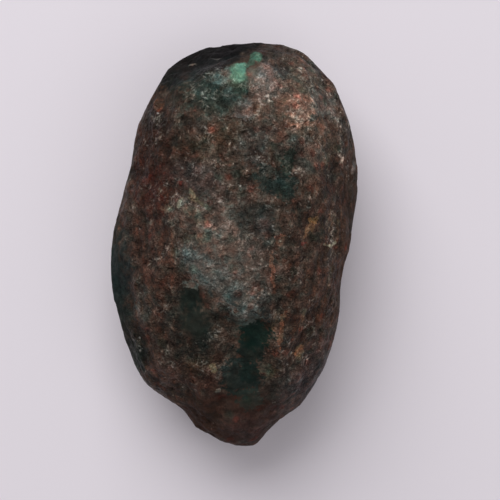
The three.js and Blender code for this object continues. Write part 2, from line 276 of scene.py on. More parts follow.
# The patches, from the lowest up: name, centre, radii, turn, strength, border, colour.
PATCH_ROWS = (
    # The tip, the rims and the lower flanks.
    ("plum tip", (-1, -15.5, 10), (8.5, 5.6, 8), 0, 0.72, HAZY, (54, 34, 28)),
    ("right rim", (10.8, 1.4, 9), (2.4, 11, 7), 0, 0.8, HAZY, (54, 40, 33)),
    ("left rim", (-11, -4.8, 8), (2.4, 8.5, 7), 0, 0.85, HAZY, (32, 30, 27)),
    ("rusty left flank", (-7.1, -1.7, 12.5), (2.6, 7.5, 6), 3, 0.7, HAZY, (64, 44, 35)),
    ("brown flank spot", (-6.6, 1.55, 13.5), (0.6, 0.5, 3), 0, 0.5, SOFT, (94, 74, 64)),
    ("rusty right flank", (7.2, -5.4, 12), (3.2, 7.2, 7), 5, 0.65, HAZY, (70, 51, 41)),
    ("rib", (4, -7.8, 13.5), (0.8, 1.1, 4), 0, 0.55, SOFT, (48, 38, 32)),
    # The lower right rim's lavender: a painted reflection of the pale floor.
    ("lavender reflection right", (6.8, -12.3, 10), (2.2, 3.8, 5), -36, 0.8, HAZY, (68, 60, 60)),
    ("plum low right", (4.6, -14, 9), (1, 1.2, 5), 0, 0.75, SOFT, (80, 68, 64)),
    ("brown right spot", (5.2, -10, 12.5), (0.6, 0.6, 4), 0, 0.55, SOFT, (88, 72, 62)),
    ("tan low left", (-2.9, -10.1, 13), (1.3, 0.7, 3), 10, 0.55, GRAINY, (84, 64, 46)),
    ("dark low left", (-5.4, -10.4, 12), (1, 0.8, 4), 0, 0.6, SOFT, (42, 31, 26)),
    ("tan low left spot", (-1.75, -10.4, 13), (0.35, 0.45, 4), 0, 0.6, GRAINY, (128, 112, 84)),
    ("tan hollow streak", (3.6, -6.9, 14), (0.35, 1.5, 4), 0, 0.3, GRAINY, (112, 86, 68)),
    ("tan low right spot", (5.5, -9.15, 13), (0.4, 0.5, 4), -30, 0.6, GRAINY, (140, 112, 84)),
    ("tan right streak", (5.8, -6.3, 13), (0.4, 1.1, 4), 0, 0.6, GRAINY, (114, 90, 72)),
    ("tan beside trough", (3.1, -10.9, 13), (0.5, 0.7, 4), -30, 0.5, GRAINY, (100, 84, 62)),
    ("pale nose spot", (-1.35, -12.5, 12), (0.25, 0.25, 4), 0, 0.6, GRAINY, (126, 118, 106)),
    ("grey green middle", (-2.4, -7.9, 14), (2.6, 2.2, 4), 0, 0.5, HAZY, (50, 49, 42)),
    ("left hollow wash", (-4.4, -5.3, 14), (1.3, 1.5, 4), 0, 0.65, SOFT, (40, 43, 38)),
    ("dark low right", (3.2, -12, 12), (1.9, 1.3, 4), -20, 0.6, HAZY, (40, 42, 38)),
    ("grey tip", (1.6, -16.4, 9), (2.2, 1.8, 5), 0, 0.6, HAZY, (66, 52, 50)),
    ("tip left", (-2.6, -15.6, 9), (1.6, 1.8, 5), 0, 0.6, HAZY, (42, 28, 20)),
    ("left rim streak", (-8.4, -5.6, 11), (0.25, 0.7, 4), 0, 0.5, GRAINY, (96, 98, 92)),
    # The upper flanks and the crown.
    ("upper left", (-6.8, 8.6, 13), (3.2, 3.6, 6), 10, 0.75, HAZY, (44, 23, 13)),
    ("brown shoulder", (-7.2, 11.4, 10.5), (1.3, 1.5, 4), 20, 0.85, HAZY, (30, 22, 18)),
    ("pale crown", (4, 13.6, 13), (3.8, 3.2, 5), -10, 0.75, SOFT, (100, 84, 72)),
    ("grey crown", (2.7, 13.7, 13.5), (1.5, 1.6, 4), -20, 0.75, SOFT, (106, 95, 87)),
    ("pale shoulder", (7.2, 10.6, 12), (2.6, 3.4, 5), 15, 0.75, SOFT, (90, 73, 60)),
    ("pale shoulder foot", (7, 9.6, 13), (0.9, 0.7, 4), 0, 0.5, SOFT, (112, 90, 76)),
    # The boss and its sheen. Teal sheen and upper teal sheen are grey teal mica with a painted
    # sheen.
    ("grey boss", (-0.8, -0.4, 16.5), (2.9, 5.4, 4), 32, 0.8, SOFT, (96, 83, 74)),
    ("teal sheen", (-1, -3.2, 16), (4, 1.2, 3), -36, 0.85, SOFT, (96, 97, 91)),
    ("boss side", (2.5, -1.5, 16), (1.1, 1.8, 3), -6, 0.75, SOFT, (52, 42, 36)),
    ("brown boss top", (1.1, -0.3, 16.5), (0.8, 0.95, 3), 0, 0.65, SOFT, (62, 51, 45)),
    ("dark vein spot", (4, -1.85, 15.5), (0.45, 0.5, 3), 0, 0.5, SOFT, (44, 36, 31)),
    ("pale boss ridge", (0.1, -2, 16.5), (0.7, 0.6, 3), -30, 0.5, GRAINY, (104, 96, 90)),
    ("dark under sheen", (-0.5, -4.4, 15.5), (1.7, 0.55, 3), -22, 0.6, GRAINY, (44, 46, 43)),
    ("upper teal sheen", (-3.1, -1.1, 16), (1.5, 0.8, 3), -26, 0.7, SOFT, (88, 90, 86)),
    # The middle and its spots.
    ("dark mid right", (4.2, 2.4, 16), (2.6, 2.2, 3), 0, 0.2, SOFT, (58, 50, 44)),
    ("grey green mid", (1.8, 2.4, 16), (1.7, 1.3, 3), -30, 0.7, SOFT, (30, 40, 38)),
    ("violet grey", (-3.3, 5.7, 15.5), (2.4, 1.4, 3), -14, 0.7, SOFT, (50, 44, 42)),
    ("olive boss spot", (-2.6, 0.8, 16), (0.9, 0.45, 3), 12, 0.65, GRAINY, (114, 107, 92)),
    ("olive chain left", (-5.65, 3.25, 15), (0.42, 0.22, 3), 0, 0.5, GRAINY, (146, 138, 116)),
    ("olive chain dot", (-4.42, 3.5, 15.5), (0.18, 0.38, 3), 10, 0.45, GRAINY, (140, 134, 112)),
    ("olive chain right", (-3.4, 4, 16), (0.8, 0.3, 3), -45, 0.65, GRAINY, (122, 114, 90)),
    ("olive chain end", (-3.35, 2.45, 16), (0.9, 0.45, 3), -40, 0.65, GRAINY, (110, 101, 86)),
    ("left crimson spot", (-6.5, 4, 14), (0.45, 0.3, 3), 0, 0.6, GRAINY, (96, 36, 28)),
    ("upper crimson spot", (-4.7, 5.3, 15), (0.25, 0.25, 3), 0, 0.55, GRAINY, (108, 46, 38)),
    ("right crimson spot", (-2.2, 3.6, 16), (0.3, 0.3, 3), 0, 0.5, GRAINY, (118, 64, 56)),
    ("left pale dot", (-7.5, 5.1, 13), (0.2, 0.32, 3), 0, 0.6, SOFT, (116, 108, 100)),
    ("left rim dot", (-8.9, 5.1, 11), (0.18, 0.45, 3), 0, 0.55, SOFT, (100, 96, 94)),
    ("green left dot", (-6.7, 5.7, 14), (0.45, 0.45, 3), 0, 0.6, GRAINY, (38, 48, 38)),
    ("shoulder tan", (7.05, 7.8, 13), (0.95, 0.85, 3), 0, 0.75, SOFT, (106, 90, 78)),
    ("right rim line", (10.3, 6.9, 9.5), (0.12, 0.65, 3), 0, 0.6, SOFT, (112, 108, 104)),
    ("flank line", (8.1, 0.2, 12), (0.5, 0.2, 3), 10, 0.6, GRAINY, (136, 138, 116)),
    ("flank dot", (8.35, 2.1, 11), (0.55, 0.8, 4), 0, 0.7, GRAINY, (120, 106, 92)),
    ("yellow spot", (6.7, 2.3, 13.5), (0.22, 0.35, 3), 0, 0.65, GRAINY, (150, 112, 66)),
    ("brown right middle", (5.7, 2.1, 14), (0.7, 0.7, 3), 0, 0.5, SOFT, (82, 68, 58)),
    ("right red spot", (5.8, 0.3, 14), (0.2, 0.22, 3), 0, 0.55, GRAINY, (112, 50, 42)),
    ("rust above vein", (4, 0.5, 15.5), (0.4, 0.4, 3), 0, 0.5, GRAINY, (108, 76, 58)),
    ("green right dot", (5.1, -2.2, 14.5), (0.3, 0.6, 3), 0, 0.65, GRAINY, (34, 46, 38)),
    ("grey upper mid", (1.6, 8.4, 16), (1.2, 1.6, 3), 0, 0.5, SOFT, (70, 72, 68)),
    ("dark upper mid", (2, 7.3, 16), (1.1, 0.9, 3), 0, 0.85, SOFT, (35, 30, 26)),
    ("pale middle", (0.8, 4.3, 16), (0.9, 0.7, 3), 0, 0.65, SOFT, (94, 83, 74)),
    ("brown above boss", (-1.4, 3.9, 16), (1.1, 0.8, 3), 20, 0.75, SOFT, (54, 43, 37)),
    ("pale right middle", (2.3, 1.7, 16), (0.8, 0.8, 3), 0, 0.5, SOFT, (82, 74, 70)),
    ("brown above valley", (3.6, 9.6, 15), (1, 1.6, 3), 0, 0.6, SOFT, (100, 80, 68)),
    ("grey under wash", (0.75, 11.75, 14.5), (0.9, 1.1, 3), 0, 0.72, GRAINY, (114, 107, 101)),
    ("grey shoulder foot", (5.3, 8, 14.5), (1.7, 1.2, 4), 0, 0.65, SOFT, (82, 74, 66)),
    ("brown shoulder foot", (5.5, 6.6, 14.5), (0.6, 0.6, 3), 0, 0.55, SOFT, (62, 56, 49)),
    ("olive upper mid", (-1.6, 9.2, 16), (2.4, 1.3, 3), 12, 0.25, SOFT, (82, 68, 50)),
    ("pale upper spot", (-1.5, 9.8, 14.5), (0.4, 0.35, 3), 0, 0.45, GRAINY, (120, 104, 92)),
    ("olive spot", (-2.8, 10, 15), (0.7, 0.6, 3), 0, 0.9, SOFT, (40, 35, 30)),
    ("red stain", (-6.9, 4.8, 14), (1.6, 2.2, 3), 20, 0.85, HAZY, (56, 21, 12)),
    ("upper red stain", (-8.2, 7.4, 12), (1.4, 2.4, 4), 10, 0.65, HAZY, (52, 24, 14)),
    # The shoulder, the crown and the washes under the brow.
    ("crown spot", (2.8, 9.95, 15), (0.7, 0.6, 2), 0, 0.65, GRAINY, (48, 32, 26)),
    ("shoulder spot", (6.4, 9.5, 13), (0.9, 0.8, 2), 0, 0.25, GRAINY, (44, 48, 42)),
    ("teal shoulder spot", (6.8, 11, 13), (0.6, 0.4, 2), 0, 0.75, GRAINY, (40, 50, 46)),
    ("green shoulder", (7.2, 13.4, 12), (1, 1.3, 2), 0, 0.6, SOFT, (66, 68, 60)),
    ("dark shoulder", (9, 10.6, 11), (1, 2.2, 3), 14, 0.6, SOFT, (54, 48, 42)),
    ("pale shoulder rim", (7.8, 12.3, 11.5), (1.3, 1.1, 4), -30, 0.75, SOFT, (104, 92, 84)),
    ("tan lump", (5.7, 11.9, 14), (1.3, 1.5, 3), 0, 0.85, GRAINY, (123, 100, 86)),
    ("rust beside tan", (4.9, 11.4, 14), (0.5, 1.3, 2), -12, 0.55, GRAINY, (104, 68, 54)),
    ("tan ledge", (6.7, 10.3, 14), (1.5, 0.3, 2), -2, 0.6, GRAINY, (124, 92, 75)),
    ("crown dent", (4.3, 15.1, 12), (0.6, 0.7, 4), 0, 0.8, SOFT, (40, 42, 40)),
    # The crown's grey bump: pale grey mica with a painted highlight.
    ("crown grey highlight", (2.8, 14.9, 12.5), (0.9, 1, 2), 0, 0.6, SOFT, (112, 104, 100)),
    ("pale mint spot", (1.45, 15.1, 12.7), (0.4, 0.35, 4), 0, 0.5, SOFT, (120, 116, 104)),
    ("crown gap", (4.2, 13.4, 13), (0.6, 0.7, 3), 0, 0.5, SOFT, (72, 59, 50)),
    ("green brow wash", (-1.8, 12.9, 14), (2.7, 1.9, 4), -8, 0.8, SOFT, (40, 54, 47)),
    ("dark brow wash", (-3.3, 14.2, 12.5), (0.9, 0.4, 5), -6, 0.55, SOFT, (34, 42, 37)),
    ("grey wash end", (-0.4, 13.1, 14), (0.7, 0.6, 4), 0, 0.55, SOFT, (80, 86, 79)),
    ("green left shoulder", (-4.4, 15.5, 11), (2.4, 1.5, 4), 34, 0.88, SOFT, (18, 28, 23)),
    ("green under brow", (-3.9, 14.9, 11.5), (2.3, 0.9, 5), 16, 0.85, SOFT, (22, 36, 31)),
    ("left cheek rust", (-4.4, 15, 12), (0.4, 0.6, 4), 0, 0.5, SOFT, (72, 46, 36)),
    ("lower cheek rust", (-6.4, 12.2, 12), (0.5, 0.5, 4), 0, 0.5, GRAINY, (96, 66, 46)),
    ("pale brow band", (-0.95, 14.5, 12.5), (1.15, 0.6, 5), 6, 0.85, SOFT, (104, 118, 110)),
    # The valley and the hollows.
    ("green valley", (3.4, 5.6, 15.5), (2, 1.1, 3), -18, 0.75, GRAINY, (34, 46, 42)),
    ("green valley core", (3.7, 5.2, 15.5), (1, 0.7, 3), -18, 0.7, SOFT, (26, 39, 35)),
    ("green valley arm", (4.6, 7.1, 15), (0.45, 1.3, 3), -8, 0.75, GRAINY, (34, 52, 45)),
    ("green valley foot", (4.5, 4.4, 15), (0.7, 1, 3), 0, 0.7, GRAINY, (24, 38, 33)),
    ("green left hollow", (-3.65, -4.3, 15), (0.9, 1.05, 3), 10, 0.92, SOFT, (24, 33, 29)),
    ("green hollow foot", (-3.4, -7.2, 14), (1.5, 2.3, 3), 0, 0.85, SOFT, (26, 33, 29)),
    ("brown hollow foot", (-4, -8.1, 13.5), (0.6, 0.7, 4), 0, 0.5, SOFT, (64, 52, 44)),
    ("green right hollow", (1.7, -7.5, 14), (1.5, 1.5, 3), 0, 0.92, GRAINY, (18, 40, 34)),
    ("green channel", (1.5, -9, 13), (1.35, 1.3, 4), 0, 0.85, GRAINY, (20, 34, 30)),
    ("tan beside channel", (3.4, -9.6, 13), (0.6, 0.6, 4), 0, 0.65, GRAINY, (84, 66, 54)),
    ("lip side", (2.6, -4.7, 15), (0.5, 1.5, 3), 6, 0.7, GRAINY, (36, 42, 40)),
    ("lip top", (1, -4.7, 15.5), (1.5, 0.75, 3), -24, 0.65, GRAINY, (50, 53, 50)),
    ("brown sheen gap", (-2.5, -2.7, 15.5), (0.8, 0.5, 3), -30, 0.45, SOFT, (60, 55, 50)),
    # Teal lip and its fringe: grey teal mica with a painted sheen on the boss's lower edge.
    ("teal lip", (1.2, -5.6, 15), (1.1, 1.05, 3), -16, 0.75, GRAINY, (84, 92, 87)),
    ("teal lip fringe", (0.3, -6.3, 15), (0.8, 0.7, 3), 0, 0.6, GRAINY, (78, 88, 82)),
    ("boss notch", (0.45, -5.15, 15), (0.55, 0.42, 3), 10, 0.75, GRAINY, (38, 46, 43)),
    ("pale boss foot", (-3.65, -3.25, 15), (0.65, 0.4, 3), -12, 0.6, GRAINY, (100, 106, 98)),
    ("green trough", (0.65, -11.3, 12.5), (1.8, 1.8, 4), 0, 0.88, GRAINY, (26, 36, 33)),
    ("green trough core", (1.3, -11, 12.5), (0.9, 0.9, 4), 0, 0.7, GRAINY, (16, 32, 28)),
    ("green trough end", (1.24, -13.3, 12), (1.1, 1.1, 4), 0, 0.6, GRAINY, (42, 52, 46)),
    ("pale trough side", (2.75, -10.6, 12.5), (0.5, 0.5, 4), -20, 0.6, GRAINY, (92, 84, 70)),
    # The left edge and the brow.
    ("green left edge", (-10.2, -2.6, 9), (1.7, 3.8, 5), 0, 0.85, SOFT, (20, 33, 33)),
    ("left strip", (-9.8, -7.2, 9), (1.3, 2.6, 5), -8, 0.75, SOFT, (28, 33, 29)),
    ("green left flank", (-7.6, -4.9, 11.5), (1.1, 1.6, 4), 0, 0.55, SOFT, (48, 50, 44)),
    ("green low edge", (-8.6, -9.8, 9), (1.3, 2.1, 5), -24, 0.85, SOFT, (12, 26, 21)),
    # Left brow, dark brow, brow beside mint, brow lip and brow lip end: dark green-black mineral,
    # partly a painted shadow that nothing in the scene casts.
    ("left brow", (-5.4, 16, 10), (2.9, 2, 5.5), 36, 0.92, SOFT, (10, 11, 11)),
    ("dark under brow", (-1.8, 17.6, 7.5), (6, 3.6, 6.5), 0, 0.85, HAZY, (26, 22, 21)),
    ("dark brow", (-1.8, 18.3, 11), (4.9, 2.5, 5), 8, 0.95, FIRM, (11, 10, 10)),
    ("brow beside mint", (0.2, 17.6, 12), (2.4, 1, 5), 28, 0.95, FIRM, (12, 10, 11)),
    ("brown end foot", (-2.6, 17, 4), (5, 3, 2.8), 0, 0.75, HAZY, (46, 36, 30)),
    ("brow lip", (-2, 15.7, 11.5), (1.9, 0.7, 5), 6, 0.85, SMOOTH, (20, 21, 21)),
    ("brow lip end", (-0.2, 16.2, 12), (0.9, 0.5, 5), 28, 0.85, SMOOTH, (18, 19, 19)),
    ("left brow scratch", (-3.8, 15.9, 11), (0.45, 0.1, 5), 4, 0.6, SMOOTH, (96, 104, 98)),
    ("brow scratch", (-1.4, 16.4, 12), (0.6, 0.08, 5), 4, 0.55, SMOOTH, (76, 74, 72)),
    # The veins.
    ("mint halo", (0.3, 14, 13), (0.75, 1.2, 5), -6, 0.75, SOFT, (44, 64, 53)),
    ("mint vein", (0.3, 14.8, 13.2), (0.66, 0.86, 5), -24, 0.95, SMOOTH, (83, 118, 99)),
    ("mint vein top", (0.65, 15.3, 13), (0.42, 0.55, 5), -24, 0.95, SMOOTH, (84, 122, 104)),
    ("mint vein above", (1.95, 16.4, 11.5), (0.5, 0.4, 5), 24, 0.95, SMOOTH, (65, 99, 82)),
    ("mint link", (1.3, 15.85, 12.2), (0.22, 0.55, 5), -44, 0.7, SMOOTH, (54, 84, 70)),
    ("orange vein", (3.25, -2.2, 16), (0.22, 1.9, 2), 4, 0.6, GRAINY, (122, 84, 66)),
    ("lower orange vein", (4.1, -7, 14), (0.2, 1.7, 4), -6, 0.7, GRAINY, (126, 84, 62)),
    ("upper orange vein", (6.3, 1.6, 14), (0.26, 1.5, 2), -34, 0.45, GRAINY, (128, 96, 66)),
)

# Where the grain is calm: name, centre, radii, turn, strength.
CALM_ROWS = (
    ("brow", (-1.8, 18.3, 10), (5.2, 2.8, 5.5), 8, 0.8),
    ("left shoulder", (-5.6, 14.8, 11), (2.2, 2.6, 4), 34, 0.6),
    ("right hollow", (1.6, -7.6, 14), (1.6, 1.6, 3), -10, 0.75),
    ("left hollow", (-3.4, -5.6, 14), (1.3, 2.6, 3), 0, 0.9),
    ("trough", (0.8, -11.3, 12.5), (1.6, 3.6, 4), -8, 0.6),
    ("nose", (0, -16, 9), (7, 4, 9), 0, 0.6),
    ("mint", (0.8, 15.6, 13), (1.3, 1.6, 2), -20, 0.75),
    ("boss", (-0.6, -2.4, 16.5), (3.6, 2.6, 3), -36, 0.15),
    ("left edge", (-10.6, -3.4, 9), (1.8, 6, 6), 0, 0.6),
    ("right edge", (10.8, 0, 9), (1.9, 10, 6), 0, 0.45),
)

# Where the pale flakes and their painted glints gather, mostly on the lit places: name, centre,
# radii, turn, strength, border.
CROWD_ROWS = (
    ("olive chain", (-4.7, 3.7, 16), (1.9, 0.7, 2), -20, 0.3, SOFT),
    ("boss crowd", (0.4, -1.6, 16.5), (3, 4, 3), 30, 0.12, HAZY),
    ("crown crowd", (4.6, 13.4, 13), (3.6, 3.2, 4), 0, 0.22, HAZY),
    ("tan crowd", (5.7, 11.9, 13), (1.4, 1.5, 3), 0, 0.12, SOFT),
    ("crown fleck", (5.9, 15.1, 12), (0.4, 0.3, 1.6), 10, 0.15, SOFT),
    ("right rim fleck", (9.35, 7.9, 11), (0.35, 0.6, 3), 0, 0.55, SOFT),
    ("lower rim fleck", (9.9, 6.6, 10), (0.25, 0.9, 3), 0, 0.45, SOFT),
    ("right flank fleck", (8.3, 0.9, 13), (0.5, 0.9, 2), -30, 0.5, SOFT),
    ("low right fleck", (5.7, -9.7, 13), (0.7, 0.7, 2), -20, 0.35, SOFT),
    ("low left fleck", (-2.7, -10.4, 13), (1, 0.6, 2), 0, 0.2, SOFT),
    ("shoulder fleck", (9.2, 11.1, 11), (0.4, 1, 2), 0, 0.25, SOFT),
    ("lower shoulder fleck", (7.1, 8.9, 12), (0.9, 0.8, 2), 0, 0.4, SOFT),
    ("valley side fleck", (5.9, 6.2, 14), (0.8, 0.7, 2), 0, 0.22, SOFT),
    ("boss side fleck", (-2.9, 0.7, 16), (1, 0.7, 2), 0, 0.2, SOFT),
    ("rib crowd", (4.6, -8, 14), (1.2, 3, 3), 0, 0.12, SOFT),
    ("brow crowd", (-1, 14.8, 13), (1.4, 0.5, 4), 0, 0.25, SOFT),
    ("wash crowd", (-2.8, 13.2, 13), (1.9, 0.5, 4), -6, 0.35, SOFT),
    ("upper left crowd", (-5.8, 9.6, 13), (2.4, 1.6, 3), 0, 0.1, HAZY),
    ("upper mid crowd", (-1, 8.6, 15), (5, 3.6, 4), 0, 0.12, HAZY),
)


@dataclass(frozen=True)
class Mottling:
    """The brown ground of the schist, mottled longer along the stone than across it.

    Attributes:
        pattern: The pattern of the mottling.
        scale: How it is drawn out.
        stops: The display colours, each after the level where it stands.
    """

    pattern: Clouds = Clouds(1.5, 5, 0.68)
    scale: Triple = (1, 0.62, 1)
    stops: tuple[tuple[float, Display], ...] = (
        (0.3, (39, 29, 23)),
        (0.44, (59, 46, 37)),
        (0.56, (70, 58, 49)),
        (0.72, (94, 81, 70)),
    )

    def colour(self, sheet: StoneSheet) -> Socket:
        """Mottles the ground.

        Args:
            sheet: The stone's nodes.

        Returns:
            The colour.
        """
        inputs = {"Vector": sheet.place, "Scale": self.scale}
        drawn = sheet.add("ShaderNodeMapping", inputs)[0]
        ramp = sheet.add("ShaderNodeValToRGB", {0: self.pattern.at(sheet, drawn)})["Color"]
        elements = ramp.node.color_ramp.elements
        for position, _ in self.stops[1:-1]:
            elements.new(position)
        for element, (position, colour) in zip(elements, self.stops):
            element.position, element.color = position, tint(*colour)
        return ramp


@dataclass(frozen=True)
class FlankStreaks:
    """Rusty and dark lines that run along the flanks.

    Attributes:
        jitter: How the lines bend.
        lines: The pattern that they are cut from.
        scale: How it is drawn out along the stone.
        across: How far from the middle they set in, mm.
        along: Where they fade towards the blunt end, mm.
        kinds: The levels in rusty and in dark lines, each with what multiplies the ground.
    """

    jitter: Jitter = Jitter(1.6)
    lines: Clouds = Clouds(0.55)
    scale: Triple = (1, 0.16, 1)
    across: Rise = Rise(2.4, 5)
    along: Rise = Rise(8, 3)
    kinds: tuple[tuple[Rise, Triple], ...] = (
        (Rise(0.53, 0.68, 0.5), (2.2, 1.75, 1.5)),
        (Rise(0.47, 0.34, 0.5), (0.4, 0.42, 0.45)),
    )

    def over(self, sheet: StoneSheet, colour: Socket) -> Socket:
        """Draws the lines over a colour.

        Args:
            sheet: The stone's nodes.
            colour: The colour so far.

        Returns:
            The new colour.
        """
        inputs = {"Vector": self.jitter.bend(sheet, sheet.place), "Scale": self.scale}
        lines = self.lines.at(sheet, sheet.add("ShaderNodeMapping", inputs)[0])
        axes = sheet.add("ShaderNodeSeparateXYZ", {0: sheet.place})
        flank = sheet.step(sheet.calc("ABSOLUTE", axes[0]), self.across)
        flank = sheet.calc("MULTIPLY", flank, sheet.step(axes[1], self.along))
        for levels, change in self.kinds:
            share = sheet.calc("MULTIPLY", sheet.step(lines, levels), flank)
            colour = sheet.blend(share, colour, sheet.shift("MULTIPLY", colour, change))
        return colour


@dataclass(frozen=True)
class HueDrift:
    """A drift of the hue between rusty and green, and between olive and violet grey.

    Attributes:
        jitter: How ragged the drifting places are.
        rusty: The pattern of the rusty places.
        rusty_change: How far it raises red, green and blue there.
        cool: The pattern of the cool places.
        cool_change: The same for the cool places.
        apart: How far apart the two patterns are read, mm.
    """

    jitter: Jitter = Jitter(1)
    rusty: Clouds = Clouds(0.8)
    rusty_change: Triple = (1.25, -0.18, -0.45)
    cool: Clouds = Clouds(1.4, 2, 0.5)
    cool_change: Triple = (-0.8, 0.13, 0.42)
    apart: Triple = (37, 11, 23)

    def over(self, sheet: StoneSheet, colour: Socket) -> Socket:
        """Lets a colour drift.

        Args:
            sheet: The stone's nodes.
            colour: The colour so far.

        Returns:
            The new colour.
        """
        bent = self.jitter.bend(sheet, sheet.place)
        rusty = sheet.calc("SUBTRACT", self.rusty.at(sheet, bent), MIDDLE)
        elsewhere = sheet.shift("ADD", bent, self.apart)
        cool = sheet.calc("SUBTRACT", self.cool.at(sheet, elsewhere), MIDDLE)
        rusty_swing = sheet.shift("SCALE", self.rusty_change, rusty)
        cool_swing = sheet.shift("SCALE", self.cool_change, cool)
        swing = sheet.shift("SCALE", sheet.shift("ADD", rusty_swing, cool_swing), sheet.lively)
        return sheet.shift("MULTIPLY", colour, sheet.shift("ADD", EVEN, swing))


@dataclass(frozen=True)
class GrainContrast:
    """The contrast between each mineral grain and its neighbours, with painted shade in the pits
    and painted highlights on the knobs.

    Attributes:
        jitter: How ragged the grains are.
        wisps: The pattern whose middle level draws thin pale wisps.
        wisp: How near that level a wisp is.
        wisp_power: How strongly it counts.
        places: The pattern of the places with wisps.
        placed: Its levels there.
        swings: The patterns of the grains and of their knots, each with its even level and
            how strongly it counts.
        relief_power: How strongly the height of the mesh counts, per mm, as painted shade where it
            lies low and painted highlights where it stands high.
        base: What one step of power multiplies a colour by.
        greying: The levels of the palest grains, which turn grey.
        balance: What red, green and blue are multiplied by in the end.
    """

    jitter: Jitter = Jitter(0.7, reach=0.35)
    wisps: Clouds = Clouds(0.3)
    wisp: Rise = Rise(0.075, 0)
    wisp_power: float = 0.9
    places: Clouds = Clouds(1)
    placed: Rise = Rise(0.42, 0.62)
    swings: tuple[tuple[Clouds, float, float], ...] = (
        (Clouds(0.18, 2), 0.52, 3.1),
        (Clouds(0.9, 4), 0.56, 4.5),
    )
    relief_power: float = 2.0
    base: float = 2.2
    greying: Rise = Rise(1.1, 2.6, 0.32)
    balance: Triple = (1.137, 1.128, 1.128)

    def over(self, sheet: StoneSheet, colour: Socket) -> Socket:
        """Gives a colour its contrast.

        Args:
            sheet: The stone's nodes.
            colour: The colour so far.

        Returns:
            The new colour.
        """
        bent = self.jitter.bend(sheet, sheet.place)
        ridge = sheet.calc("SUBTRACT", self.wisps.at(sheet, bent), MIDDLE)
        line = sheet.step(sheet.calc("ABSOLUTE", ridge), self.wisp)
        where = sheet.step(self.places.at(sheet, sheet.place), self.placed)
        power = sheet.calc("MULTIPLY", sheet.calc("MULTIPLY", line, where), self.wisp_power)
        for pattern, middle, strength in self.swings:
            swing = sheet.calc("SUBTRACT", pattern.at(sheet, bent), middle)
            power = sheet.calc("ADD", power, sheet.calc("MULTIPLY", swing, strength))
        # The height of the mesh lightens the knobs and darkens the pits: painted highlights and
        # painted shade.
        relief = sheet.add("ShaderNodeAttribute", {}, attribute_name=RELIEF)["Fac"]
        power = sheet.calc("ADD", power, sheet.calc("MULTIPLY", relief, self.relief_power))
        level = sheet.calc("POWER", self.base, sheet.calc("MULTIPLY", power, sheet.lively))
        colour = sheet.shift("SCALE", colour, level)
        grey = sheet.add("ShaderNodeRGBToBW", {0: colour})[0]
        colour = sheet.blend(sheet.step(level, self.greying), colour, grey)
        return sheet.shift("MULTIPLY", colour, self.balance)


@dataclass(frozen=True)
class FlakesAndGlints:
    """Thin pale flakes of mica, which lie along three directions, brightened as painted glints.

    Attributes:
        jitter: How ragged they are.
        scraps: The pattern that they are cut from.
        scale: How it is drawn out.
        chosen: The levels of it that hold a flake.
        lift: What a flake multiplies its ground by.
        directions: Each direction's turn, degrees, and the shade that its flakes add.
    """

    jitter: Jitter = Jitter(0.5, reach=0.14)
    scraps: Clouds = Clouds(0.24, 2)
    scale: Triple = (2.6, 1, 1.4)
    chosen: Rise = Rise(0.98, 1.24)
    lift: float = 1.75
    directions: tuple[tuple[float, Triple], ...] = (
        (40, (0.115, 0.11, 0.092)),
        (-28, (0.125, 0.125, 0.115)),
        (80, (0.108, 0.09, 0.073)),
    )

    def over(self, sheet: StoneSheet, colour: Socket) -> Socket:
        """Scatters the flakes over a colour.

        Args:
            sheet: The stone's nodes.
            colour: The colour so far.

        Returns:
            The new colour.
        """
        bent = self.jitter.bend(sheet, sheet.place)
        for turn, shade in self.directions:
            rotation = (0.0, 0.0, math.radians(turn))
            inputs = {"Vector": bent, "Rotation": rotation, "Scale": self.scale}
            drawn = sheet.add("ShaderNodeMapping", inputs, vector_type="TEXTURE")[0]
            scraps = sheet.calc("ADD", self.scraps.at(sheet, drawn), sheet.gathered)
            # A flake is its ground brightened: pale mica with a painted glint.
            lit = sheet.shift("ADD", sheet.shift("SCALE", colour, self.lift), shade)
            colour = sheet.blend(sheet.step(scraps, self.chosen), colour, lit)
        return colour


@dataclass(frozen=True)
class GrainPick:
    """A choice of single grains from a pattern of cells.

    Attributes:
        size: The width of a cell, mm.
        channel: Which channel of a cell's own random colour decides.
        chosen: The levels of it in the cells that hold a grain.
        held: How far a grain reaches from the middle of its cell.
    """

    size: float
    channel: int = 1
    chosen: Rise = Rise(0.7, 0.78, 0.85)
    held: Rise = Rise(0.5, 0.15)

    def share(self, sheet: ShaderSheet, place: Socket) -> Socket:
        """Works out how fully each place belongs to a chosen grain.

        Args:
            sheet: The material's nodes.
            place: The place, mm.

        Returns:
            The share, from 0.
        """
        cells = sheet.grains(place, self.size)
        own = sheet.add("ShaderNodeSeparateColor", {0: cells["Color"]})
        held = sheet.step(cells["Distance"], self.held)
        return sheet.calc("MULTIPLY", sheet.step(own[self.channel], self.chosen), held)


@dataclass(frozen=True)
class OddGrains:
    """Single grains of another mineral, here and there.

    Attributes:
        pick: Which grains they are.
        offset: How far their pattern is shifted, mm.
        change: What such a grain multiplies its ground by.
        jitter: How ragged it is.
    """

    pick: GrainPick
    offset: Triple
    change: Triple
    jitter: Jitter = Jitter(0.5, reach=0.3)

    def over(self, sheet: StoneSheet, colour: Socket) -> Socket:
        """Sets the grains into a colour.

        Args:
            sheet: The stone's nodes.
            colour: The colour so far.

        Returns:
            The new colour.
        """
        bent = self.jitter.bend(sheet, sheet.shift("ADD", sheet.place, self.offset))
        changed = sheet.shift("MULTIPLY", colour, self.change)
        return sheet.blend(self.pick.share(sheet, bent), colour, changed)


